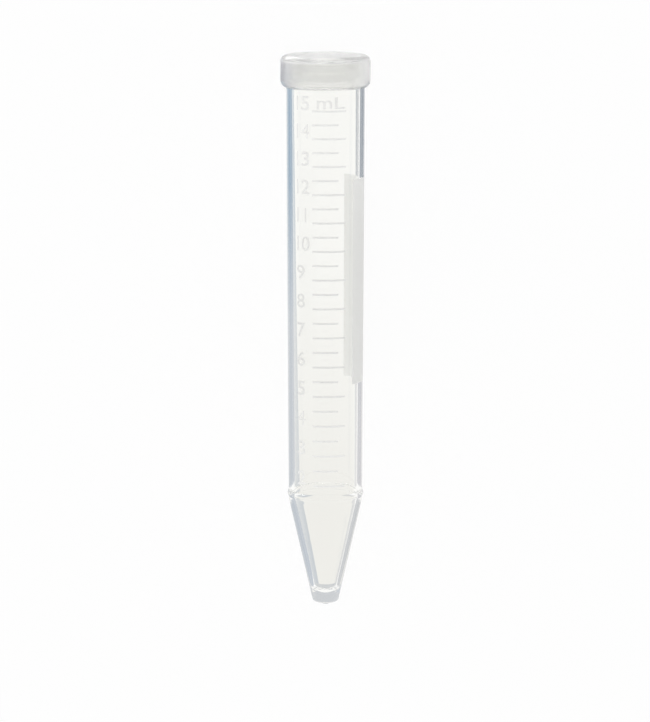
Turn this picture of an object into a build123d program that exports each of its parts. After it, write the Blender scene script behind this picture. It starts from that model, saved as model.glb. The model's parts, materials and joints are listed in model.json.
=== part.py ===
"""A 15 ml conical centrifuge tube closed by a push-on plug cap.

The real thing is two injection mouldings. The tube is clear polystyrene: a drafted barrel,
a stacking bead, a cone and a solid domed tip, with a bore that follows the outside one wall
thickness in. The cap is soft natural polyethylene: a skirt that goes over the tube's rim, and
a hollow plug that goes down inside it, so the rim sits in the groove between them.

Heights are measured up the tube's own axis from the tip, and radii out from that axis. The
part lies on its side as it comes to rest, on the cap's skirt and the stacking bead, with the
cap towards +Y and the tip a little off the ground.
"""

import os
from math import asin, atan, atan2, cos, degrees, hypot, sin

from build123d import *

# The tube, in millimetres.
TUBE_LENGTH = 120.0
RIM_DIAMETER = 17.1
FOOT_DIAMETER = 16.1
WALL = 1.2
RIM_ROUNDING = 0.4

# The cone below the barrel, and its solid tip.
CONE_HEIGHT = 23.6
SHOULDER_ROUNDING = 2.0
TIP_DIAMETER = 5.6
TIP_DOME = 0.65
TIP_ROUNDING = 0.7
TIP_FLOOR = 2.6
GATE_DIAMETER = 1.3
GATE_HEIGHT = 0.15

# The stacking bead round the foot of the barrel.
BEAD_ABOVE_CONE = 1.35
BEAD_WIDTH = 1.5
BEAD_PROUD = 0.3

# The outside of the cap.
CAP_PLATE = 1.2
CAP_TOP_ROUNDING = 1.45
SKIRT_DEPTH = 6.0
SKIRT_WALL = 1.05
SKIRT_ROUNDING = 1.9

# The inside of the skirt, with a lip that grips the barrel.
SKIRT_LEAD_IN = 0.3
LIP_WIDTH = 0.9
LIP_FROM_END = 1.0

# The hollow plug, with a rib that seals in the bore.
PLUG_DEPTH = 4.2
PLUG_WALL = 1.1
PLUG_LEAD_IN = 0.35
PLUG_LEAD_LENGTH = 0.8
SEAL_WIDTH = 1.0
SEAL_FROM_END = 1.6
ROOT_ROUNDING = 0.3

# Clearances between the two mouldings.
PUSH_CLEARANCE = 0.15
GRIP_CLEARANCE = 0.06
SEAT_CLEARANCE = 0.05

# Where the seam of the turned faces runs, in degrees round the axis from straight up.
SEAM_TURN = -9.6

rim_radius = RIM_DIAMETER / 2
foot_radius = FOOT_DIAMETER / 2
tip_radius = TIP_DIAMETER / 2
cap_radius = rim_radius + PUSH_CLEARANCE + SKIRT_WALL

barrel_draft = (rim_radius - foot_radius) / (TUBE_LENGTH - CONE_HEIGHT)
cone_slope = (foot_radius - tip_radius) / (CONE_HEIGHT - TIP_DOME)
cone_angle = atan(cone_slope)

bead_height = CONE_HEIGHT + BEAD_ABOVE_CONE
plate_underside = TUBE_LENGTH + SEAT_CLEARANCE
cap_top = plate_underside + CAP_PLATE
skirt_end = plate_underside - SKIRT_DEPTH
plug_end = plate_underside - PLUG_DEPTH


def barrel_radius(height):
    """Outside radius of the drafted barrel."""
    return foot_radius + (height - CONE_HEIGHT) * barrel_draft


def bore_radius(height):
    """Inside radius of the barrel, one wall in from its outside."""
    return barrel_radius(height) - WALL


def cone_bore_radius(height):
    """Inside radius of the cone, one wall in, measured square to its slope."""
    return foot_radius - (CONE_HEIGHT - height) * cone_slope - WALL / cos(cone_angle)


def socket_radius(height):
    """Inside radius of the skirt, which follows the barrel's draft."""
    return barrel_radius(height) + PUSH_CLEARANCE


def plug_radius(height):
    """Outside radius of the plug, which follows the bore's draft."""
    return bore_radius(height) - PUSH_CLEARANCE


def rib(wall_radius, middle, width, proud):
    """Draw a rounded rib up a turned wall. Negative proud stands it inwards."""
    foot = middle - width / 2
    head = middle + width / 2
    return ThreePointArc(
        (wall_radius(foot), foot),
        (wall_radius(middle) + proud, middle),
        (wall_radius(head), head),
    )


# The bead's crest and the bend at the skirt's foot both touch the ground. Each is an arc in
# section, so the ground is the line that touches both arcs from outside.
bead_arc = ((BEAD_WIDTH / 2) ** 2 + BEAD_PROUD**2) / (2 * BEAD_PROUD)
bead_centre = barrel_radius(bead_height) + BEAD_PROUD - bead_arc
bend_centre = cap_radius - SKIRT_ROUNDING
bend_height = skirt_end + SKIRT_ROUNDING
span = bend_height - bead_height
rise = bend_centre - bead_centre
rest_angle = atan2(rise, span) + asin((SKIRT_ROUNDING - bead_arc) / hypot(span, rise))

# The tip's place puts the ground at Z = 0 and the middle of the whole length at Y = 0.
top_edge_radius = cap_radius - CAP_TOP_ROUNDING
top_edge_height = cap_top - CAP_TOP_ROUNDING
top_reach = (
    top_edge_height * cos(rest_angle) + top_edge_radius * sin(rest_angle) + CAP_TOP_ROUNDING
)
tip_reach = GATE_HEIGHT * cos(rest_angle) + GATE_DIAMETER / 2 * sin(rest_angle)
tip_rise = bead_centre * cos(rest_angle) + bead_arc - bead_height * sin(rest_angle)
tip = Vector(0, (tip_reach - top_reach) / 2, tip_rise)
tube_axis = Axis(tip, Vector(0, cos(rest_angle), sin(rest_angle)))

# Sections are drawn in this plane: X is the radius and Y the height up the tube. The turned
# faces start and end there, and the turn lays a flat of their coarse form on the ground, so
# that the part rests and does not roll.
seam = Vector(0, -sin(rest_angle), cos(rest_angle)).rotate(tube_axis, SEAM_TURN)
section = Plane(origin=tip, x_dir=seam, z_dir=seam.cross(tube_axis.direction))


with BuildPart() as tube:
    # The outside: domed tip, cone, stacking bead and drafted barrel, in one turned profile.
    with BuildSketch(section) as outside:
        with BuildLine():
            dome_edge = (tip_radius, TIP_DOME)
            shoulder = (foot_radius, CONE_HEIGHT)
            dome_arc = (tip_radius**2 + TIP_DOME**2) / (2 * TIP_DOME)
            RadiusArc((0, 0), dome_edge, -dome_arc)
            Line(dome_edge, shoulder)
            bead = rib(barrel_radius, bead_height, BEAD_WIDTH, BEAD_PROUD)
            Line(shoulder, bead @ 0)
            Polyline(bead @ 1, (rim_radius, TUBE_LENGTH), (0, TUBE_LENGTH), (0, 0))
        make_face()
        fillet(outside.vertices().sort_by_distance(dome_edge)[0], TIP_ROUNDING)
        fillet(outside.vertices().sort_by_distance(shoulder)[0], SHOULDER_ROUNDING)
    revolve(axis=tube_axis)

    # The low scar that the moulding gate leaves on the middle of the tip.
    with BuildSketch(section):
        with Locations((GATE_DIAMETER / 4, 0)):
            Rectangle(GATE_DIAMETER / 2, 2 * GATE_HEIGHT)
    revolve(axis=tube_axis)

    # The bore: a round floor that runs into the cone's wall, then the cone and the barrel.
    with BuildSketch(section):
        with BuildLine():
            floor_arc = cone_bore_radius(TIP_FLOOR) / (1 / cos(cone_angle) - cone_slope)
            floor = CenterArc((0, TIP_FLOOR + floor_arc), floor_arc, -90, 90 - degrees(cone_angle))
            wall_gain = WALL / cos(cone_angle) - WALL
            bend = CONE_HEIGHT + wall_gain / (cone_slope - barrel_draft)
            Polyline(
                floor @ 1,
                (bore_radius(bend), bend),
                (bore_radius(TUBE_LENGTH), TUBE_LENGTH),
                (0, TUBE_LENGTH),
                floor @ 0,
            )
        make_face()
    revolve(axis=tube_axis, mode=Mode.SUBTRACT)

    rim_edges = tube.edges().filter_by(GeomType.CIRCLE).sort_by(tube_axis)[-2:]
    fillet(rim_edges, RIM_ROUNDING)

tube.part.label = "tube"


with BuildPart() as cap:
    # The outside: a smooth round cap, rounded over at its top and at the foot of its skirt.
    with BuildSketch(section):
        with Locations((cap_radius / 2, (skirt_end + cap_top) / 2)):
            Rectangle(cap_radius, cap_top - skirt_end)
    revolve(axis=tube_axis)
    outer_edges = cap.edges().filter_by(GeomType.CIRCLE).sort_by(tube_axis)
    fillet(outer_edges[-1], CAP_TOP_ROUNDING)
    fillet(outer_edges[0], SKIRT_ROUNDING)

    # The socket for the tube's rim. Its lip stands in from the wall to grip the barrel.
    with BuildSketch(section) as socket:
        with BuildLine():
            lead_head = skirt_end + SKIRT_LEAD_IN
            socket_corner = (socket_radius(plate_underside), plate_underside)
            lip_height = skirt_end + LIP_FROM_END
            lip = rib(socket_radius, lip_height, LIP_WIDTH, GRIP_CLEARANCE - PUSH_CLEARANCE)
            Polyline(
                (0, skirt_end),
                (socket_radius(skirt_end) + SKIRT_LEAD_IN, skirt_end),
                (socket_radius(lead_head), lead_head),
                lip @ 0,
            )
            Polyline(lip @ 1, socket_corner, (0, plate_underside), (0, skirt_end))
        make_face()
        fillet(socket.vertices().sort_by_distance(socket_corner)[0], ROOT_ROUNDING)
    revolve(axis=tube_axis, mode=Mode.SUBTRACT)

    # The hollow plug: a ring with a tapered end and a rib that seals against the bore.
    with BuildSketch(section) as plug:
        with BuildLine():
            plug_bore = plug_radius(plug_end) - PLUG_WALL
            taper_head = plug_end + PLUG_LEAD_LENGTH
            seal_height = plug_end + SEAL_FROM_END
            seal = rib(plug_radius, seal_height, SEAL_WIDTH, PUSH_CLEARANCE - GRIP_CLEARANCE)
            Polyline(
                (plug_bore, plug_end),
                (plug_radius(plug_end) - PLUG_LEAD_IN, plug_end),
                (plug_radius(taper_head), taper_head),
                seal @ 0,
            )
            Polyline(
                seal @ 1,
                (plug_radius(plate_underside), plate_underside),
                (plug_bore, plate_underside),
                (plug_bore, plug_end),
            )
        make_face()
    revolve(axis=tube_axis)

cap.part.label = "cap"

os.makedirs("parts", exist_ok=True)
export_step(tube.part, "parts/tube.step")
export_step(cap.part, "parts/cap.step")
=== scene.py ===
# %% [markdown]
# # A 15 ml conical tube, lying on a white bench
# The real object is two mouldings and some white print: a clear polystyrene tube with a cone and
# a rounded tip, a milky polyethylene cap pushed on its mouth, and a printed scale with a panel to
# write on. The CAD model gives their size and their place. Here each piece is made again with
# finer curves, because clear plastic shows every flat facet, and is given its finish.

# %% Load the fixed frame
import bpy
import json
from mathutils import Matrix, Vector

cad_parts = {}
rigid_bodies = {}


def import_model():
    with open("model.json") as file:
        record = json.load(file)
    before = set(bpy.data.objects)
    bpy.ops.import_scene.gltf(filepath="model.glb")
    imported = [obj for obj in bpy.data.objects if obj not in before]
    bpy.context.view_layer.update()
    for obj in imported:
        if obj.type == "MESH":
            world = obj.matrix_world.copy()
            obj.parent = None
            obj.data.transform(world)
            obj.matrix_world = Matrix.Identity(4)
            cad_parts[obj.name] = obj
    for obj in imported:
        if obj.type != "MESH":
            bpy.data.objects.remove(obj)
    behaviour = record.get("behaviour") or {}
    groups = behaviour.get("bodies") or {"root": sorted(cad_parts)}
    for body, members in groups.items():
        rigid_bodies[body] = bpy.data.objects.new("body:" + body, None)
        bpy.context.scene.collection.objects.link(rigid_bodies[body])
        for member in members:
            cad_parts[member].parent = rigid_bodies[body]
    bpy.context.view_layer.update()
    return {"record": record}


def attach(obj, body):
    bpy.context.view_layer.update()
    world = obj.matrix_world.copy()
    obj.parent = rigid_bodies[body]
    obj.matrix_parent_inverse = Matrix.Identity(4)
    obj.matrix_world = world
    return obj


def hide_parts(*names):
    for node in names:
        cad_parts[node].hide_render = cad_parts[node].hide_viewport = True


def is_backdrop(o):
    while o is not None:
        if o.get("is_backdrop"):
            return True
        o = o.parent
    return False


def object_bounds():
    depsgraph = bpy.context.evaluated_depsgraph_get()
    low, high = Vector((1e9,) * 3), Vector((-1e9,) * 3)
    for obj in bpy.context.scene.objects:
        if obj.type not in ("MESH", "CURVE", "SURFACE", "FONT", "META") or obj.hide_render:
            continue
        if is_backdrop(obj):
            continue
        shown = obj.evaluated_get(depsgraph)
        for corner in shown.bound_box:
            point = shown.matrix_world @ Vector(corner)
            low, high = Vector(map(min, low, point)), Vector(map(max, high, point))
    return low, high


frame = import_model()

# %% Modules and units
import json
from math import acos, asin, atan, atan2, cos, degrees, pi, radians, sin, sqrt, tan

import bmesh
import bpy
from mathutils import Matrix, Vector

MM = 0.001

# %% [markdown]
# ## The tube's own axis
# The tube rests on its cap and on the bead round the foot of the barrel, so its axis leans about
# one degree. It is easiest to model each piece upright round the Z axis, with its height measured
# from the tip, and then to lay it down in one move. The axis comes from the frame's record, where
# the flat top of the cap is a mount.

# %% Find the axis
CAP_TOP = 121.25 * MM
mounts = {mount["name"]: mount for mount in frame["record"]["mounts"]}
axis = Vector(mounts["cap_top"]["axis"]).normalized()
tip = Vector(mounts["cap_top"]["pos_m"]) - axis * CAP_TOP
side = Vector((1, 0, 0))
# Upright Z becomes the axis, and upright -Y becomes the side that faces up.
lying = Matrix.Translation(tip) @ Matrix((side, axis.cross(side), axis)).transposed().to_4x4()
print("tip at", [round(v / MM, 3) for v in tip], "axis", [round(v, 5) for v in axis])


def lay_down(piece):
    """Turn an upright piece to where the tube lies, and put that place into its mesh."""
    bpy.ops.object.select_all(action="DESELECT")
    piece.select_set(True)
    bpy.context.view_layer.objects.active = piece
    piece.matrix_world = lying
    bpy.ops.object.transform_apply(location=True, rotation=True, scale=True)


# %% [markdown]
# ## Drawing a section with one vertex
# Both mouldings are round all the way, so each is half a section turned about the axis, as on a
# lathe. The section is drawn as by hand: a plane is merged to one vertex, which is then extruded
# from corner to corner. A rounded corner is that vertex spun about the corner's centre. Long
# straight runs get a holding vertex close to each end: smooth shading blends the direction of the
# surface from one vertex to the next, and without them a small rounding would bend the light along
# the whole barrel.

# %% Tools for straight runs
# A holding vertex stands this far from each end of a run.
HOLD = 0.12 * MM


def start_section(name, radius, height):
    """A plane merged to one vertex, at the section's first corner."""
    bpy.ops.object.select_all(action="DESELECT")
    bpy.ops.mesh.primitive_plane_add(size=MM, location=(0, 0, 0))
    piece = bpy.context.object
    piece.name = piece.data.name = name
    bpy.ops.object.mode_set(mode="EDIT")
    bpy.ops.mesh.select_all(action="SELECT")
    bpy.ops.mesh.merge(type="CENTER")
    bpy.ops.transform.translate(value=(radius, 0, height))
    return piece


def pen():
    """The section's loose end, which is the one selected vertex, as (radius, height)."""
    mesh = bmesh.from_edit_mesh(bpy.context.object.data)
    spot = next(vertex.co for vertex in mesh.verts if vertex.select)
    return Vector((spot.x, spot.z))


def pull_to(spot):
    """Extrude the loose end to a spot."""
    move = Vector(spot) - pen()
    bpy.ops.mesh.extrude_region_move(TRANSFORM_OT_translate={"value": (move.x, 0, move.y)})


def run_to(radius, height):
    """Draw a straight run, held at both ends if it is long."""
    start, end = pen(), Vector((radius, height))
    run = end - start
    if run.length > 4 * HOLD:
        pull_to(start + run.normalized() * HOLD)
        pull_to(end - run.normalized() * HOLD)
    pull_to(end)


# %% Tools for arcs
def swing(centre, turn, steps):
    """Spin the loose end about a centre. A positive turn goes from +radius towards +height."""
    bpy.ops.mesh.spin(
        steps=steps, angle=turn, center=(centre[0], 0, centre[1]), axis=(0, 1, 0)
    )


def round_corner(corner, after, radius, steps=8):
    """Run towards a corner and round it off, heading for the corner after it."""
    corner, after = Vector(corner), Vector(after)
    way_in, way_out = (corner - pen()).normalized(), (after - corner).normalized()
    side_of_turn = 1 if way_in.x * way_out.y - way_in.y * way_out.x > 0 else -1
    turn = acos(max(-1, min(1, way_in.dot(way_out))))
    start = corner - way_in * radius * tan(turn / 2)
    run_to(*start)
    centre = start + Vector((-way_in.y, way_in.x)) * radius * side_of_turn
    swing(centre, turn * side_of_turn, steps)


def bulge_to(end, proud, steps=10):
    """Draw an arc to a spot. It stands proud of the straight line, outwards if positive."""
    start, end = pen(), Vector(end)
    chord = end - start
    arc_radius = (chord.length_squared / 4 + proud**2) / (2 * abs(proud))
    outward = Vector((chord.y, -chord.x)).normalized()
    if outward.x < 0:
        outward = -outward
    bow = 1 if proud > 0 else -1
    centre = (start + end) / 2 + outward * (proud - bow * arc_radius)
    half = asin(chord.length / 2 / arc_radius)
    swing(centre, 2 * half * bow * (1 if chord.y > 0 else -1), steps)


# %% Tools for turning a section into a piece
TURN_STEPS = 256
MERGE_BELOW = 0.0003 * MM
# Faces that meet at less than this many degrees are shaded as one smooth surface.
SMOOTH_BELOW = 32


def turn_round(piece):
    """Spin the whole section once about the axis and close its seam and its poles."""
    bpy.ops.mesh.select_all(action="SELECT")
    bpy.ops.mesh.spin(steps=TURN_STEPS, angle=2 * pi, center=(0, 0, 0), axis=(0, 0, 1))
    bpy.ops.mesh.select_all(action="SELECT")
    bpy.ops.mesh.remove_doubles(threshold=MERGE_BELOW)
    bpy.ops.mesh.normals_make_consistent(inside=False)
    bpy.ops.object.mode_set(mode="OBJECT")
    bpy.ops.object.shade_smooth_by_angle(angle=radians(SMOOTH_BELOW))


def report(piece):
    """Print how many faces a piece has and whether it is closed."""
    mesh = bmesh.new()
    mesh.from_mesh(piece.data)
    open_edges = sum(not edge.is_manifold for edge in mesh.edges)
    print(f"{piece.name}: {len(mesh.faces)} faces, {open_edges} open edges, "
          f"{mesh.calc_volume() / MM**3:.1f} mm3")
    mesh.free()


# %% [markdown]
# ## The clear tube
# It is one moulding: a barrel that narrows very slightly towards its foot so that it leaves the
# mould, a thin bead round the foot, a cone, and a solid domed tip with the small scar of the gate
# where the plastic came in. The bore follows the outside one wall further in. The section goes up
# the outside from the tip, over the rounded rim and down the bore to its round floor.

# %% Sizes of the tube
TUBE_LENGTH = 120.0 * MM
RIM_RADIUS = 8.55 * MM
FOOT_RADIUS = 8.05 * MM
WALL = 1.2 * MM
RIM_ROUNDING = 0.4 * MM
CONE_HEIGHT = 23.6 * MM
SHOULDER_ROUNDING = 2.0 * MM
TIP_RADIUS = 2.8 * MM
TIP_DOME = 0.65 * MM
TIP_ROUNDING = 0.7 * MM
TIP_FLOOR = 2.6 * MM
BEND_ROUNDING = 4.0 * MM
GATE_RADIUS = 0.65 * MM
GATE_HEIGHT = 0.15 * MM
BEAD_HEIGHT = 24.95 * MM
BEAD_WIDTH = 1.5 * MM
BEAD_PROUD = 0.3 * MM

barrel_draft = (RIM_RADIUS - FOOT_RADIUS) / (TUBE_LENGTH - CONE_HEIGHT)
cone_slope = (FOOT_RADIUS - TIP_RADIUS) / (CONE_HEIGHT - TIP_DOME)
cone_angle = atan(cone_slope)


def barrel_radius(height):
    """Outside radius of the barrel at a height above the tip."""
    return FOOT_RADIUS + (height - CONE_HEIGHT) * barrel_draft


def cone_bore_radius(height):
    """Inside radius of the cone at a height above the tip."""
    return FOOT_RADIUS - (CONE_HEIGHT - height) * cone_slope - WALL / cos(cone_angle)


print("barrel draft", round(degrees(atan(barrel_draft)), 2), "deg a side, cone",
      round(degrees(cone_angle), 2), "deg a side")

# %% Draw the outside of the tube
dome_radius = (TIP_RADIUS**2 + TIP_DOME**2) / (2 * TIP_DOME)
gate_top = dome_radius - sqrt(dome_radius**2 - GATE_RADIUS**2)
tube = start_section("tube_moulding", 0, -GATE_HEIGHT)
pull_to((GATE_RADIUS, -GATE_HEIGHT))
pull_to((GATE_RADIUS, gate_top))

# The rounding between dome and cone touches both, so its centre is one rounding in from each.
up_cone = Vector((sin(cone_angle), cos(cone_angle)))
into_cone = Vector((-cos(cone_angle), sin(cone_angle)))
dome_centre = Vector((0, dome_radius))
foot_of_line = Vector((TIP_RADIUS, TIP_DOME)) + into_cone * TIP_ROUNDING
reach = dome_radius - TIP_ROUNDING
along = (foot_of_line - dome_centre).dot(up_cone)
gap = (foot_of_line - dome_centre).length_squared - reach**2
rounding_centre = foot_of_line + up_cone * (-along - sqrt(along**2 - gap))
lean = asin(rounding_centre.x / reach)
swing(dome_centre, lean - asin(GATE_RADIUS / dome_radius), steps=10)
swing(rounding_centre, pi / 2 - lean - cone_angle, steps=10)

bead_foot, bead_head = BEAD_HEIGHT - BEAD_WIDTH / 2, BEAD_HEIGHT + BEAD_WIDTH / 2
round_corner(
    (FOOT_RADIUS, CONE_HEIGHT), (barrel_radius(bead_foot), bead_foot), SHOULDER_ROUNDING
)
pull_to((barrel_radius(bead_foot), bead_foot))
bulge_to((barrel_radius(bead_head), bead_head), BEAD_PROUD, steps=14)
print("outside drawn up to the bead, pen at", [round(v / MM, 3) for v in pen()])

# %% Draw the rim and the bore, and turn the tube
bore_mouth = (RIM_RADIUS - WALL, TUBE_LENGTH)
round_corner((RIM_RADIUS, TUBE_LENGTH), bore_mouth, RIM_ROUNDING)
wall_gain = WALL / cos(cone_angle) - WALL
bend = CONE_HEIGHT + wall_gain / (cone_slope - barrel_draft)
bend_corner = (barrel_radius(bend) - WALL, bend)
round_corner(bore_mouth, bend_corner, RIM_ROUNDING)
floor_arc = cone_bore_radius(TIP_FLOOR) / (1 / cos(cone_angle) - cone_slope)
floor_centre = Vector((0, TIP_FLOOR + floor_arc))
floor_edge = floor_centre + Vector((cos(cone_angle), -sin(cone_angle))) * floor_arc
round_corner(bend_corner, floor_edge, BEND_ROUNDING, steps=6)
run_to(*floor_edge)
swing(floor_centre, -(pi / 2 - cone_angle), steps=24)
print("bore ends on the axis at", [round(v / MM, 4) for v in pen()])
turn_round(tube)
report(tube)

# %% [markdown]
# ## The push-on cap
# A soft cap of one piece. Its skirt goes over the rim and a hollow plug goes down inside, so the
# rim sits in the groove between them. Nothing hides that from view, since the plastic is milky
# and lets light through, so the groove, the sealing rib on the plug and the gripping lip in the
# skirt are all drawn. The section goes from the middle of the top, round the outside, in at the
# foot of the skirt, up the groove, down and round the plug, and back to the middle underneath.

# %% Sizes of the cap
CAP_RADIUS = 9.75 * MM
CAP_TOP_ROUNDING = 1.45 * MM
SKIRT_DEPTH = 6.0 * MM
SKIRT_ROUNDING = 1.9 * MM
SKIRT_LEAD_IN = 0.3 * MM
LIP_WIDTH = 0.9 * MM
LIP_FROM_END = 1.0 * MM
PLUG_DEPTH = 4.2 * MM
PLUG_WALL = 1.1 * MM
PLUG_LEAD_IN = 0.35 * MM
PLUG_LEAD_LENGTH = 0.8 * MM
SEAL_WIDTH = 1.0 * MM
SEAL_FROM_END = 1.6 * MM
ROOT_ROUNDING = 0.3 * MM
SEAT_CLEARANCE = 0.05 * MM
PUSH_CLEARANCE = 0.15 * MM
RIB_PROUD = 0.09 * MM

plate_underside = TUBE_LENGTH + SEAT_CLEARANCE
skirt_end = plate_underside - SKIRT_DEPTH
plug_end = plate_underside - PLUG_DEPTH


def socket(height):
    """A corner of the groove's outer side, which follows the barrel."""
    return (barrel_radius(height) + PUSH_CLEARANCE, height)


def plug(height):
    """A corner of the plug's outer side, which follows the bore."""
    return (barrel_radius(height) - WALL - PUSH_CLEARANCE, height)


print("cap", round(2 * CAP_RADIUS / MM, 2), "mm across and",
      round((CAP_TOP - skirt_end) / MM, 2), "mm high")

# %% Draw the outside of the cap
cap = start_section("cap_moulding", 0, CAP_TOP)
top_edge, foot_edge = (CAP_RADIUS, CAP_TOP), (CAP_RADIUS, skirt_end)
skirt_mouth = (socket(skirt_end)[0] + SKIRT_LEAD_IN, skirt_end)
round_corner(top_edge, foot_edge, CAP_TOP_ROUNDING, steps=12)
# The skirt is thinner than the rounding at its foot, which stops where it meets the mouth's
# sloping edge, one step in for each step up.
bend_centre = Vector((CAP_RADIUS - SKIRT_ROUNDING, skirt_end + SKIRT_ROUNDING))
inset = skirt_mouth[0] - bend_centre.x
reach = inset + SKIRT_ROUNDING
climb = (reach - sqrt(reach**2 - 2 * inset**2)) / 2
foot = Vector(skirt_mouth) + Vector((-climb, climb))
run_to(CAP_RADIUS, bend_centre.y)
swing(bend_centre, -atan2(bend_centre.y - foot.y, foot.x - bend_centre.x), steps=14)
print("skirt ends at", [round(v / MM, 3) for v in pen()],
      "and its mouth's edge is met at", [round(v / MM, 3) for v in foot])

# %% Draw the groove and the plug, and turn the cap
pull_to(socket(skirt_end + SKIRT_LEAD_IN))
lip = skirt_end + LIP_FROM_END
run_to(*socket(lip - LIP_WIDTH / 2))
bulge_to(socket(lip + LIP_WIDTH / 2), -RIB_PROUD)
groove_root = socket(plate_underside)
round_corner(groove_root, plug(plate_underside), ROOT_ROUNDING, steps=6)
run_to(*plug(plate_underside))
seal = plug_end + SEAL_FROM_END
run_to(*plug(seal + SEAL_WIDTH / 2))
bulge_to(plug(seal - SEAL_WIDTH / 2), RIB_PROUD)
run_to(*plug(plug_end + PLUG_LEAD_LENGTH))
run_to(plug(plug_end)[0] - PLUG_LEAD_IN, plug_end)
hollow = plug(plug_end)[0] - PLUG_WALL
run_to(hollow, plug_end)
run_to(hollow, plate_underside)
run_to(0, plate_underside)
turn_round(cap)
report(cap)
lay_down(cap)

# %% [markdown]
# ## The printed scale
# The scale is white ink printed round the barrel: a long line at each millilitre and a shorter
# one at each half, with numbers to their left. Their heights aren't evenly spaced, because the
# bore widens slowly towards the cap: each line is about where the bore below it holds that
# volume. A line is a short upright edge spun part of the way round the axis, and a Solidify
# modifier gives the sheet the thickness of a coat of ink.

# %% Where each volume comes to
FIRST_MARK, LAST_MARK = 2, 15
HALF_MILLILITRE = 0.5e-6
HEIGHT_STEP = 0.01 * MM
# Two fitted corrections, one a factor and one a volume, that move the lines by up to a quarter
# of a millimetre to where the real ones stand. They stand for no measured property of the tube.
SCALE_FACTOR = 1.005
SCALE_OFFSET = 0.03e-6


def bore_here(height):
    """Inside radius of the tube at a height above the tip."""
    if height < floor_edge.y:
        return sqrt(max(0, floor_arc**2 - (floor_centre.y - height) ** 2))
    return min(cone_bore_radius(height), barrel_radius(height) - WALL)


volume, height, marks = -SCALE_OFFSET, TIP_FLOOR, {}
while len(marks) < 2 * LAST_MARK:
    volume += SCALE_FACTOR * pi * bore_here(height + HEIGHT_STEP / 2) ** 2 * HEIGHT_STEP
    height += HEIGHT_STEP
    if volume >= (len(marks) + 1) * HALF_MILLILITRE:
        marks[(len(marks) + 1) / 2] = height
print({mark: round(spot / MM, 2) for mark, spot in marks.items()})

# %% Tools that print on the barrel
INK_LIFT = 0.004 * MM
INK_COAT = 0.02 * MM
INK_SMOOTH_BELOW = 30


def around(azimuth, radius, height):
    """A spot on the upright tube. Azimuth is in degrees from the front, to the right."""
    return Vector((radius * sin(radians(azimuth)), -radius * cos(radians(azimuth)), height))


def spin_band(azimuth, sweep, low, high, steps):
    """Spin an upright edge part of the way round the barrel, in the mesh being edited."""
    bpy.ops.mesh.select_all(action="DESELECT")
    bpy.ops.mesh.primitive_plane_add(size=MM)
    bpy.ops.mesh.merge(type="CENTER")
    bpy.ops.transform.translate(value=around(azimuth, barrel_radius(low) + INK_LIFT, low))
    rise = around(azimuth, barrel_radius(high) + INK_LIFT, high) - around(
        azimuth, barrel_radius(low) + INK_LIFT, low
    )
    bpy.ops.mesh.extrude_region_move(TRANSFORM_OT_translate={"value": rise})
    bpy.ops.mesh.select_linked()
    # With no window the operator turns the other way, so the sweep is taken from zero.
    bpy.ops.mesh.spin(steps=steps, angle=-radians(sweep), center=(0, 0, 0), axis=(0, 0, 1))


def start_print(name):
    """An empty mesh in edit mode, for bands to be spun into."""
    bpy.ops.object.select_all(action="DESELECT")
    bpy.ops.mesh.primitive_plane_add(size=MM, location=(0, 0, 0))
    piece = bpy.context.object
    piece.name = piece.data.name = name
    bpy.ops.object.mode_set(mode="EDIT")
    bpy.ops.mesh.select_all(action="SELECT")
    bpy.ops.mesh.delete(type="VERT")
    return piece


def coat(piece):
    """Give a sheet of ink its thickness, outwards."""
    bpy.ops.object.mode_set(mode="OBJECT")
    solid = piece.modifiers.new("ink coat", "SOLIDIFY")
    solid.thickness = INK_COAT
    solid.offset = 1
    bpy.ops.object.modifier_apply(modifier=solid.name)
    bpy.ops.object.shade_smooth_by_angle(angle=radians(INK_SMOOTH_BELOW))


# %% Make the lines
LINE_THICKNESS = 0.42 * MM
# The start and the two lengths are in degrees round the barrel.
LINE_START = -20.0
LONG_LINE = 51.2
SHORT_LINE = 39.5

lines = start_print("scale_lines")
for mark in [half / 2 for half in range(2 * FIRST_MARK, 2 * LAST_MARK + 1)]:
    sweep = LONG_LINE if mark == int(mark) else SHORT_LINE
    low = marks[mark] - LINE_THICKNESS / 2
    spin_band(LINE_START, sweep, low, low + LINE_THICKNESS, steps=40)
bpy.ops.mesh.select_all(action="SELECT")
bpy.ops.mesh.normals_make_consistent(inside=False)
coat(lines)
report(lines)
lay_down(lines)

# %% [markdown]
# ## The writing panel
# Beside the scale is a plain white panel to write on with a marker. It is the same ink, so it is
# made in the same way, from a tall edge.

# %% Make the panel
# The start and the sweep are in degrees round the barrel.
PANEL_START, PANEL_SWEEP = 45.0, 101.0
PANEL_LOW, PANEL_HIGH = 50.0 * MM, 94.75 * MM
panel = start_print("writing_panel")
spin_band(PANEL_START, PANEL_SWEEP, PANEL_LOW, PANEL_HIGH, steps=72)
coat(panel)
report(panel)
lay_down(panel)

# %% [markdown]
# ## The numbers and the unit
# Each number stands on its line. The digits start as Blender's own text, which becomes a flat
# mesh. Upright cuts every third of a millimetre let the flat sheet bend, and a Shrinkwrap
# modifier then lays it on the barrel, as a printed film would lie. Solidify gives the coat.

# %% A tool that prints one character
DIGIT_HEIGHT = 3.15 * MM
CUT_SPACING = 0.33 * MM
INK_MERGE_BELOW = 0.002 * MM
# The printed strokes are bolder than the font's, by this share of the font's size on each side.
# The 4 keeps the font's own strokes, because its closed corner would fold over itself.
STROKE_GAIN = 0.013


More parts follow.
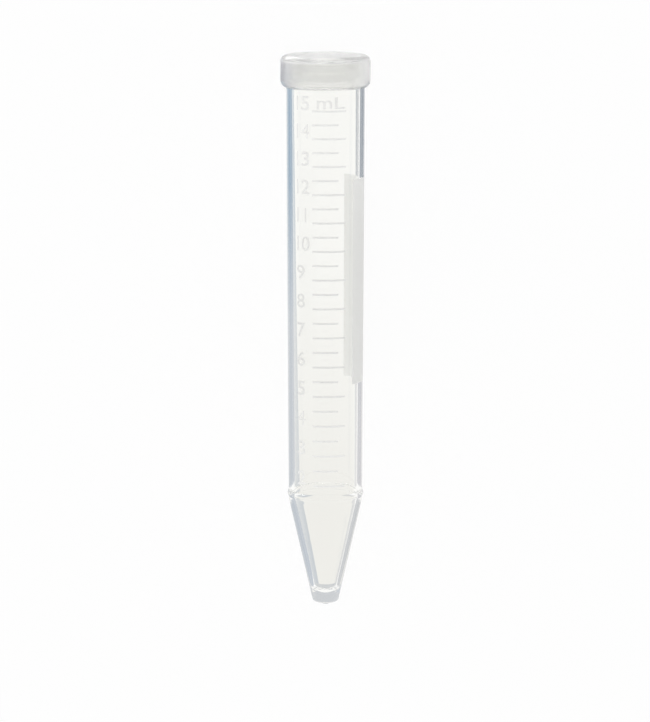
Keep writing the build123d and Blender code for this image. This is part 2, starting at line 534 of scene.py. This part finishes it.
def print_character(character, left, right, low, high):
    """Lay a character on the barrel between two azimuths in degrees and two heights."""
    middle, radius = radians((left + right) / 2), barrel_radius((low + high) / 2)
    width = radius * 2 * sin(radians(right - left) / 2)
    bpy.ops.object.select_all(action="DESELECT")
    bpy.ops.object.text_add()
    glyph = bpy.context.object
    glyph.data.body = character
    glyph.data.resolution_u = 6
    glyph.data.offset = 0 if character == "4" else STROKE_GAIN
    bpy.ops.object.convert(target="MESH")
    glyph = bpy.context.object
    corner, size = Vector(glyph.bound_box[0]), glyph.dimensions.copy()
    fit = Matrix.Diagonal((width / size.x, 1, (high - low) / size.y, 1))
    fit = fit @ Matrix.Rotation(pi / 2, 4, "X") @ Matrix.Translation(
        -corner - Vector((size.x / 2, 0, 0))
    )
    stand_off = Matrix.Translation((0, -radius, low))
    glyph.matrix_world = Matrix.Rotation(middle, 4, "Z") @ stand_off @ fit
    bpy.ops.object.transform_apply(location=True, rotation=True, scale=True)
    bpy.ops.object.mode_set(mode="EDIT")
    across = Vector((cos(middle), sin(middle), 0))
    for cut in range(-int(width / 2 / CUT_SPACING), int(width / 2 / CUT_SPACING) + 1):
        bpy.ops.mesh.select_all(action="SELECT")
        spot = around(degrees(middle), radius, low) + across * cut * CUT_SPACING
        bpy.ops.mesh.bisect(plane_co=spot, plane_no=across)
    bpy.ops.mesh.select_all(action="SELECT")
    bpy.ops.mesh.remove_doubles(threshold=INK_MERGE_BELOW)
    bpy.ops.object.mode_set(mode="OBJECT")
    wrap = glyph.modifiers.new("lie on the barrel", "SHRINKWRAP")
    wrap.target = tube
    wrap.offset = INK_LIFT
    bpy.ops.object.modifier_apply(modifier=wrap.name)
    return glyph


# %% Print the numbers
# Each pair is where a character starts and ends, in degrees from the front to the right.
ONE_DIGIT = (-47.5, -32.5)
TENS_DIGIT = (-46.5, -43.8)
ONES_DIGIT = (-38.0, -24.0)
# The second 1 of 11 is narrower than the other digits, by this much on each side.
NARROW_ONE = 5.6
DIGIT_DROP = 0.1 * MM

characters = []
for mark in range(FIRST_MARK, LAST_MARK + 1):
    foot = marks[mark] + LINE_THICKNESS / 2 - DIGIT_DROP
    head = foot + DIGIT_HEIGHT
    if mark < 10:
        characters.append(print_character(str(mark), *ONE_DIGIT, foot, head))
    else:
        characters.append(print_character("1", *TENS_DIGIT, foot, head))
        (left, right), narrower = ONES_DIGIT, NARROW_ONE if mark == 11 else 0
        characters.append(
            print_character(str(mark % 10), left + narrower, right - narrower, foot, head)
        )
print(len(characters), "digits printed")

# %% Print the unit and join the characters
UNIT_M, UNIT_M_HEIGHT = (-13.0, 10.0), 1.9 * MM
UNIT_L, UNIT_L_HEIGHT = (13.5, 30.0), 2.55 * MM
UNIT_ABOVE_LINE = 0.5 * MM

unit_foot = marks[LAST_MARK] + UNIT_ABOVE_LINE
characters.append(print_character("m", *UNIT_M, unit_foot, unit_foot + UNIT_M_HEIGHT))
characters.append(print_character("L", *UNIT_L, unit_foot, unit_foot + UNIT_L_HEIGHT))
bpy.ops.object.select_all(action="DESELECT")
for character in characters:
    character.select_set(True)
bpy.context.view_layer.objects.active = characters[0]
bpy.ops.object.join()
numbers = bpy.context.object
numbers.name = numbers.data.name = "scale_numbers"
coat(numbers)
report(numbers)
lay_down(numbers)
lay_down(tube)

# %% [markdown]
# ## Tools for finishes
# A finish is a small tree of shader nodes. Colours are written as the sRGB codes of a paint
# program, and one function turns them into linear light, which is what the renderer works in.
# Patterns read Object coordinates, in metres, so that they keep their real size on every piece: a
# noise texture whose scale is one over a length has spots about that long.

# %% Tools for finishes
def colour(code):
    """An sRGB hex code as linear light, with full alpha."""
    parts = [int(code[i:i + 2], 16) / 255 for i in (1, 3, 5)]
    return [p / 12.92 if p <= 0.04045 else ((p + 0.055) / 1.055) ** 2.4 for p in parts] + [1]


def add_node(tree, kind, settings=None, links=None):
    """Add a node, set its properties, and set or link its sockets."""
    node = tree.nodes.new(kind)
    for name, value in (settings or {}).items():
        setattr(node, name, value)
    for socket_name, value in (links or {}).items():
        if isinstance(value, bpy.types.NodeSocket):
            tree.links.new(value, node.inputs[socket_name])
        else:
            node.inputs[socket_name].default_value = value
    return node


def new_material(name):
    """A material with an empty node tree, the tree, and the Object coordinates in it."""
    material = bpy.data.materials.new(name)
    material.use_nodes = True
    material.node_tree.nodes.clear()
    place = add_node(material.node_tree, "ShaderNodeTexCoord").outputs["Object"]
    return material, material.node_tree, place


def show(tree, shader):
    """Send a shader to the tree's output."""
    add_node(tree, "ShaderNodeOutputMaterial", links={"Surface": shader.outputs[0]})


print("mid grey in linear light:", [round(v, 4) for v in colour("#808080")[:3]])

# %% [markdown]
# ## Moulded clear polystyrene
# Polystyrene is a clear, hard and cheap plastic with a high refractive index of 1.59, and it
# copies the polish of its mould. So it is a Principled shader with full transmission and almost
# no roughness, and its edges show bright and dark lines as glass does. What may tell it from
# glass is the flow of the melt from the gate along the tube. It is shown as a polish that is a
# little uneven and a surface that is very slightly wavy, in long streaks.

# %% Make the clear polystyrene
FLOW_WIDTH = 2.5 * MM
FLOW_STRETCH = 0.12
FLOW_WAVE = 0.002 * MM

clear, tree, place = new_material("injection-moulded clear polystyrene")
streaked = add_node(tree, "ShaderNodeMapping", links={
    "Vector": place, "Scale": (1, FLOW_STRETCH, 1)})
flow = add_node(tree, "ShaderNodeTexNoise", links={
    "Vector": streaked.outputs[0], "Scale": 1 / FLOW_WIDTH, "Detail": 2.0})
# The streaks show as a faint change of gloss, from a mirror to a slight haze.
polish = add_node(tree, "ShaderNodeMapRange", links={
    "Value": flow.outputs[0], "From Min": 0.3, "From Max": 0.7, "To Min": 0.01, "To Max": 0.03})
wave = add_node(tree, "ShaderNodeBump", links={
    "Height": flow.outputs[0], "Strength": 1.0, "Distance": FLOW_WAVE})
surface = add_node(tree, "ShaderNodeBsdfPrincipled", links={
    "Base Color": colour("#FEFEFC"), "Roughness": polish.outputs[0], "IOR": 1.59,
    "Transmission Weight": 1.0, "Normal": wave.outputs[0]})
show(tree, surface)
tube.data.materials.append(clear)
print(clear.name, "streaks", FLOW_WIDTH / MM, "mm wide,", round(FLOW_WIDTH / FLOW_STRETCH / MM),
      "mm long")

# %% [markdown]
# ## Natural low-density polyethylene
# Uncoloured polyethylene is milky, because its tiny crystals scatter the light, and at a
# millimetre thick it still lets most of it through: the rim and the plug show as soft lines. So
# it is mostly a rough transmission, which blurs what lies behind, with a little white scatter
# from the Base Color. The skin is satin, as a spark-eroded mould would leave it, and the
# milkiness is drawn slightly cloudy.

# %% Make the milky polyethylene
# A usual grain would be about 0.1 mm, and it is drawn three times as coarse so that it shows.
GRAIN_WIDTH = 0.3 * MM
GRAIN_HEIGHT = 0.0006 * MM
CLOUD_WIDTH = 2.2 * MM

milky, tree, place = new_material("moulded natural low-density polyethylene")
clouds = add_node(tree, "ShaderNodeTexNoise", links={
    "Vector": place, "Scale": 1 / CLOUD_WIDTH, "Detail": 3.0})
milk = add_node(tree, "ShaderNodeMix", {"data_type": "RGBA"}, {
    "Factor": clouds.outputs[0], "A": colour("#F3F3F3"), "B": colour("#FBFBFA")})
grain = add_node(tree, "ShaderNodeTexNoise", links={
    "Vector": place, "Scale": 1 / GRAIN_WIDTH, "Detail": 2.0})
skin = add_node(tree, "ShaderNodeBump", links={
    "Height": grain.outputs[0], "Strength": 1.0, "Distance": GRAIN_HEIGHT})
surface = add_node(tree, "ShaderNodeBsdfPrincipled", links={
    "Base Color": milk.outputs["Result"], "Roughness": 0.26, "IOR": 1.51,
    "Transmission Weight": 0.92, "Normal": skin.outputs[0]})
show(tree, surface)
cap.data.materials.append(milky)
print(milky.name, "grain", GRAIN_WIDTH / MM, "mm, clouds", CLOUD_WIDTH / MM, "mm")

# %% [markdown]
# ## Screen-printed white ink
# The scale, the numbers and the panel are one white ink, squeezed through a fine mesh screen. It
# is matt, and at a few hundredths of a millimetre it isn't quite opaque: on a bright bench, the
# light that comes through from behind makes it look pale grey rather than white. Subsurface
# scattering over a twentieth of a millimetre gives just that. The print is fainter near both ends
# of the scale, and here the ink is drawn in a lighter shade towards both ends. The specks are what
# a screen would leave.

# %% Make the ink
SCATTER = 0.045 * MM
# The shade is full between the 6 and 9 ml lines and lightens towards both ends of the scale.
FULL_FROM, FULL_TO = 6, 9
# The threads of such a screen are about 0.1 mm apart. The specks are drawn twice as coarse.
SPECK_WIDTH = 0.2 * MM

ink, tree, place = new_material("screen-printed white ink")
height_up = add_node(tree, "ShaderNodeSeparateXYZ", links={0: place}).outputs["Y"]
near_tip = add_node(tree, "ShaderNodeMapRange", {"interpolation_type": "SMOOTHSTEP"}, {
    "Value": height_up, "From Min": tip.y + marks[FIRST_MARK],
    "From Max": tip.y + marks[FULL_FROM], "To Min": 0.2, "To Max": 1.0})
near_cap = add_node(tree, "ShaderNodeMapRange", {"interpolation_type": "SMOOTHSTEP"}, {
    "Value": height_up, "From Min": tip.y + marks[FULL_TO],
    "From Max": tip.y + marks[LAST_MARK], "To Min": 1.0, "To Max": 0.3})
end_fade = add_node(tree, "ShaderNodeMath", {"operation": "MULTIPLY"}, {
    0: near_tip.outputs[0], 1: near_cap.outputs[0]})
scale_shade = add_node(tree, "ShaderNodeMix", {"data_type": "RGBA"}, {
    "Factor": end_fade.outputs[0], "A": colour("#E7E7E5"), "B": colour("#DADAD8")})
specks = add_node(tree, "ShaderNodeTexNoise", links={
    "Vector": place, "Scale": 1 / SPECK_WIDTH, "Detail": 1.0})
speckled = add_node(tree, "ShaderNodeMapRange", links={
    "Value": specks.outputs[0], "From Min": 0.35, "From Max": 0.65, "To Min": 0.0,
    "To Max": 0.35})
ink_shade = add_node(tree, "ShaderNodeMix", {"data_type": "RGBA"}, {
    "Factor": speckled.outputs[0], "A": scale_shade.outputs["Result"], "B": colour("#E8E8E6")})
dryness = add_node(tree, "ShaderNodeMapRange", links={
    "Value": specks.outputs[0], "To Min": 0.5, "To Max": 0.7})
surface = add_node(tree, "ShaderNodeBsdfPrincipled", links={
    "Base Color": ink_shade.outputs["Result"], "Roughness": dryness.outputs[0], "IOR": 1.5,
    "Subsurface Weight": 1.0, "Subsurface Radius": (1, 1, 1), "Subsurface Scale": SCATTER})
show(tree, surface)
for printed in (lines, panel, numbers):
    printed.data.materials.clear()
    printed.data.materials.append(ink)
print(ink.name, "has its full shade from", round(marks[FULL_FROM] / MM, 1), "to",
      round(marks[FULL_TO] / MM, 1), "mm up")

# %% [markdown]
# ## Painted light on the inner side of the panel
# The panel goes on round the side of the barrel, so the clear wall also shows its back. That
# inner side catches more light than the front, so its faces get a copy of the ink in a lighter
# shade: painted light. The shade is the same all over, so it is set straight on the shader.

# %% Make the inner side of the panel, in a shade of painted light
# An inner face's normal is within 60 degrees of pointing at the tube's axis.
INWARD = cos(radians(60))

painted_light_ink = ink.copy()
painted_light_ink.name = "white ink with painted light, seen through the wall"
painted_light_colour = painted_light_ink.node_tree.nodes[surface.name].inputs["Base Color"]
painted_light_ink.node_tree.links.remove(painted_light_colour.links[0])
# The lighter shade is painted light.
painted_light_colour.default_value = colour("#F5F5F5")
panel.data.materials.append(painted_light_ink)
for face in panel.data.polygons:
    to_axis = tip + axis * (face.center - tip).dot(axis) - face.center
    face.material_index = 1 if face.normal.dot(to_axis.normalized()) > INWARD else 0
print("inner faces:", sum(face.material_index for face in panel.data.polygons))

# %% [markdown]
# ## Tying the pieces to the frame
# The cap pulls off along the axis, so each piece rides on the body it belongs to. The finely
# turned tube and cap stand for the coarser CAD ones, which are hidden.

# %% Tie the pieces to the frame
for piece in (tube, lines, panel, numbers):
    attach(piece, "tube")
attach(cap, "cap")
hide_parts("tube")
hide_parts("cap")
print("the tube carries", [piece.name for piece in (lines, panel, numbers)])

# %% [markdown]
# ## The bench
# Clear plastic has hardly any look of its own: it shows what is round it. The bench is a matt
# white top that keeps the object's shadow. What sees it directly, in a reflection or through the
# plastic, gets most of it as plain white from the bench itself, so that no lamp has to be turned
# up to make it white.

# %% Make the bench
BENCH_SIZE = 6
STIPPLE_WIDTH = 1 * MM
GLOW_SHARE = 0.9

bpy.ops.object.select_all(action="DESELECT")
bpy.ops.mesh.primitive_plane_add(size=BENCH_SIZE, location=(0, 0, 0))
bench = bpy.context.object
bench.name = "white_bench"
white, tree, place = new_material("painted matt white bench top")
path = add_node(tree, "ShaderNodeLightPath")
stipple = add_node(tree, "ShaderNodeTexNoise", links={
    "Vector": place, "Scale": 1 / STIPPLE_WIDTH})
paint = add_node(tree, "ShaderNodeMix", {"data_type": "RGBA"}, {
    "Factor": stipple.outputs[0], "A": colour("#F9F9F9"), "B": colour("#FBFBFB")})
lit = add_node(tree, "ShaderNodeBsdfDiffuse", links={"Color": paint.outputs["Result"]})
glow = add_node(tree, "ShaderNodeEmission", links={"Strength": 1.0})
seen = add_node(tree, "ShaderNodeMath", {"operation": "ADD"}, {
    0: path.outputs["Is Camera Ray"], 1: path.outputs["Is Glossy Ray"]})
seen = add_node(tree, "ShaderNodeMath", {"operation": "ADD"}, {
    0: seen.outputs[0], 1: path.outputs["Is Transmission Ray"]})
seen = add_node(tree, "ShaderNodeMath", {"operation": "MULTIPLY", "use_clamp": True}, {
    0: seen.outputs[0], 1: GLOW_SHARE})
show(tree, add_node(tree, "ShaderNodeMixShader", links={
    0: seen.outputs[0], 1: lit.outputs[0], 2: glow.outputs[0]}))
bench.data.materials.append(white)
bench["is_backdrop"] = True
print("bench", [round(v, 2) for v in bench.dimensions], "m")

# %% [markdown]
# ## Glowing cards of painted shade round the tube
# A glass tube on white all but vanishes, so grey cards lie on each side. They glow at a set
# shade and are hidden from the camera, from diffuse light and from shadows, so only reflections
# and light through the plastic see them: their glow is painted shade. The wall bends the light at
# the tube's edges outwards, onto the cards, and they draw its two edges in that painted shade.
# The cards stop under the bead, where the plastic looks light all round. A third card, almost
# white, lies under the tube and paints its lower half a little greyer than the bench, and a small
# grey one lies under the solid tip and paints shade into it. A white card beyond the cap glows
# four times as bright as white, so that its top edge reflects it as a painted highlight. Each
# card is drawn flat with the same pen as the sections, as distance from the axis and height up
# the tube, then filled, and turned down onto the bench.

# %% A tool that lays a card
CARD_LIFT = 0.02 * MM


def lay_card(name, corners, lift, shade, strength=1.0):
    """A glowing card on the bench that paints shade or a highlight. Its shade is one colour code,
    or one at each of two heights.
    """
    card = start_section(name, *corners[0])
    for corner in corners[1:]:
        pull_to(corner)
    bpy.ops.mesh.select_all(action="SELECT")
    bpy.ops.mesh.edge_face_add()
    bpy.ops.object.mode_set(mode="OBJECT")
    card.matrix_world = Matrix.Translation((0, tip.y, lift)) @ Matrix.Rotation(-pi / 2, 4, "X")
    bpy.ops.object.transform_apply(location=True, rotation=True, scale=True)
    material, tree, place = new_material("glowing card for painted shade and highlight")
    if isinstance(shade, str):
        tint = colour(shade)
    else:
        (low, low_code), (high, high_code) = shade.items()
        along = add_node(tree, "ShaderNodeMapRange", links={
            "Value": add_node(tree, "ShaderNodeSeparateXYZ", links={0: place}).outputs["Y"],
            "From Min": tip.y + low, "From Max": tip.y + high})
        tint = add_node(tree, "ShaderNodeMix", {"data_type": "RGBA"}, {
            "Factor": along.outputs[0], "A": colour(low_code), "B": colour(high_code),
        }).outputs["Result"]
    # The card is no lamp: its glow is painted shade, or a painted highlight where it is bright.
    show(tree, add_node(tree, "ShaderNodeEmission", links={"Color": tint, "Strength": strength}))
    card.data.materials.append(material)
    card.visible_camera = card.visible_diffuse = card.visible_shadow = False
    card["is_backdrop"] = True
    return card


# %% Lay the cards beside the tube
LEFT_END, RIGHT_END = -24 * MM, 19.5 * MM
CARD_FOOT = -3.2 * MM
CARD_HEAD = CAP_TOP + 2 * MM
# The plastic looks light all round between these two heights, so no card lies beside it.
GAP_FOOT, GAP_HEAD = 20.6 * MM, 24.4 * MM


def lay_side_card(name, foot, head, far, shade):
    """A card beside the tube. Foot and head are its near corners, far is its other side."""
    corners = [foot, head, (far, head[1]), (far, foot[1])]
    lay_card(name, corners, 2 * CARD_LIFT, shade)


# The side cards glow in painted shade that draws the tube's dark edges. On the barrel it deepens
# towards the cap.
lay_side_card("left_barrel_shade_card", (-7.6 * MM, GAP_HEAD), (-11.2 * MM, skirt_end), LEFT_END,
              {60 * MM: "#C6CBD2", 94 * MM: "#9BAFC1"})
lay_side_card("left_cap_shade_card", (-8.5 * MM, skirt_end), (-8.5 * MM, CARD_HEAD), LEFT_END,
              "#C4C4CE")
lay_side_card("left_cone_shade_card", (-2.2 * MM, CARD_FOOT), (-6.4 * MM, GAP_FOOT), LEFT_END,
              {0: "#BEC5CF", GAP_FOOT: "#C2C8D0"})
lay_side_card("right_barrel_shade_card", (10.1 * MM, GAP_HEAD), (9.7 * MM, skirt_end), RIGHT_END,
              {40 * MM: "#CACACF", 100 * MM: "#949CA6"})
lay_side_card("right_cone_shade_card", (5.2 * MM, CARD_FOOT), (9.2 * MM, GAP_FOOT), RIGHT_END,
              "#C6C8CC")
print("side cards reach from", round(LEFT_END / MM, 1), "to", round(RIGHT_END / MM, 1), "mm")

# %% Lay the cards under the tube and beyond the cap
UNDER_HALF, UNDER_TIP_HALF = 9.5 * MM, 4.5 * MM
UNDER_TIP_FOOT, UNDER_TIP_HEAD, UNDER_TIP_LIFT = -2.5 * MM, 3.0 * MM, 3.6 * MM
BEYOND_FOOT, BEYOND_HEAD, BEYOND_LEFT = CAP_TOP + 6 * MM, CAP_TOP + 32 * MM, -26 * MM
BEYOND_STRENGTH = 4.0


def oblong(half_width, foot, head):
    """The corners of a card that lies in line with the tube."""
    return [(-half_width, foot), (half_width, foot), (half_width, head), (-half_width, head)]


# Painted shade: this card greys the tube's lower half, more towards the tip.
lay_card("under_shade_card", oblong(UNDER_HALF, CARD_FOOT, skirt_end), CARD_LIFT,
         {20 * MM: "#EFEEEC", 75 * MM: "#FAFAFA"})
# Painted shade in the solid tip.
lay_card("tip_shade_card", oblong(UNDER_TIP_HALF, UNDER_TIP_FOOT, UNDER_TIP_HEAD),
         UNDER_TIP_LIFT, "#C8CBD0")
# This card glows at four times white and only reflections see it: a painted highlight on the cap's
# top edge.
beyond = [(BEYOND_LEFT, BEYOND_FOOT), (-7.5 * MM, BEYOND_FOOT), (-10 * MM, BEYOND_HEAD),
          (BEYOND_LEFT, BEYOND_HEAD)]
painted_highlight_card = lay_card("highlight_card_beyond_cap", beyond, CARD_LIFT, "#FFFFFF", BEYOND_STRENGTH)
painted_highlight_card.visible_transmission = False
print("the card beyond the cap glows at", BEYOND_STRENGTH, "times white")

# %% [markdown]
# ## The room and its light
# The room is an even, soft white, just under the strength at which white paper would render as
# pure white, so a colour comes out about as it is written. One small weak lamp, low on the left
# and half a metre off, puts a soft highlight on the rounded edge of the cap's top. It is hidden
# from light that comes through the plastic, or it would draw white streaks in the tube's wall.

# %% Light the room
ROOM_STRENGTH = 0.94

world = bpy.data.worlds.new("soft white room")
bpy.context.scene.world = world
world.use_nodes = True
sky = world.node_tree.nodes["Background"]
sky.inputs["Color"].default_value = colour("#FFFFFF")
sky.inputs["Strength"].default_value = ROOM_STRENGTH
print("room strength", ROOM_STRENGTH)

# %% Hang the lamp
LAMP_DISTANCE, LAMP_SIZE, LAMP_WATTS = 0.5, 0.08, 0.25
TO_LAMP = Vector((-0.87, 0.48, 0.07)).normalized()

lamp_spot = tip + axis * TUBE_LENGTH + TO_LAMP * LAMP_DISTANCE
bpy.ops.object.select_all(action="DESELECT")
bpy.ops.object.light_add(type="AREA", location=lamp_spot)
lamp = bpy.context.object
lamp.name = lamp.data.name = "lamp_beyond_cap"
lamp.data.energy = LAMP_WATTS
lamp.data.size = LAMP_SIZE
lamp.visible_transmission = False
lamp.rotation_euler = (-TO_LAMP).to_track_quat("-Z", "Y").to_euler()
print("the lamp hangs at", [round(v, 3) for v in lamp_spot])

# %% [markdown]
# ## Enough bounces
# A ray that enters the clear wall runs along inside it and turns back many times before it comes
# out, so the default limit would leave black wedges at the bead. The glossy filter is off,
# because it would dim whatever ink or milky plastic shows through a clear wall.

# %% Set the bounces and the view
WALL_BOUNCES, DIFFUSE_BOUNCES = 200, 24

cycles = bpy.context.scene.cycles
cycles.max_bounces = cycles.transmission_bounces = cycles.glossy_bounces = WALL_BOUNCES
cycles.diffuse_bounces = DIFFUSE_BOUNCES
cycles.blur_glossy = 0
bpy.context.scene.view_settings.view_transform = "Standard"
print("bounces", cycles.max_bounces, "view", bpy.context.scene.view_settings.view_transform)

# %% [markdown]
# ## The camera
# The camera looks down on the lying tube through a long lens, as one looks at a part laid out on
# a bench. It stands a little beyond the cap and leans back by about ten degrees, so that the flat
# top of the cap shows as a thin ellipse.

# %% Place the camera
# All but the lean are in millimetres: up the tube from its tip, out from its axis, to the left of
# it, and the lens and the sensor as camera makers give them.
CAMERA_ALONG, CAMERA_OUT, CAMERA_LEFT = 191.5, 821.5, 0.1
LENS, SENSOR_WIDTH = 189.7, 36
LEAN_BACK = radians(9.49)

up = side.cross(axis)
camera_data = bpy.data.cameras.new("camera")
camera = bpy.data.objects.new("camera", camera_data)
bpy.context.scene.collection.objects.link(camera)
camera.location = (
    tip + axis * CAMERA_ALONG * MM + up * CAMERA_OUT * MM - side * CAMERA_LEFT * MM
)
forward = -up * cos(LEAN_BACK) - axis * sin(LEAN_BACK)
upward = axis * cos(LEAN_BACK) - up * sin(LEAN_BACK)
camera.rotation_mode = "QUATERNION"
camera.rotation_quaternion = Matrix((side, upward, -forward)).transposed().to_quaternion()
camera_data.lens = LENS
camera_data.sensor_width = SENSOR_WIDTH
camera_data.clip_start, camera_data.clip_end = 0.05, 20
bpy.context.scene.camera = camera
print("camera at", [round(v, 4) for v in camera.location])

# %% [markdown]
# ## The sizes
# The box round the finished pieces is printed, in millimetres.

# %% Write the sizes and finish
low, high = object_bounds()
print("visual box in mm:", [round(v / MM, 2) for v in (*low, *high)])
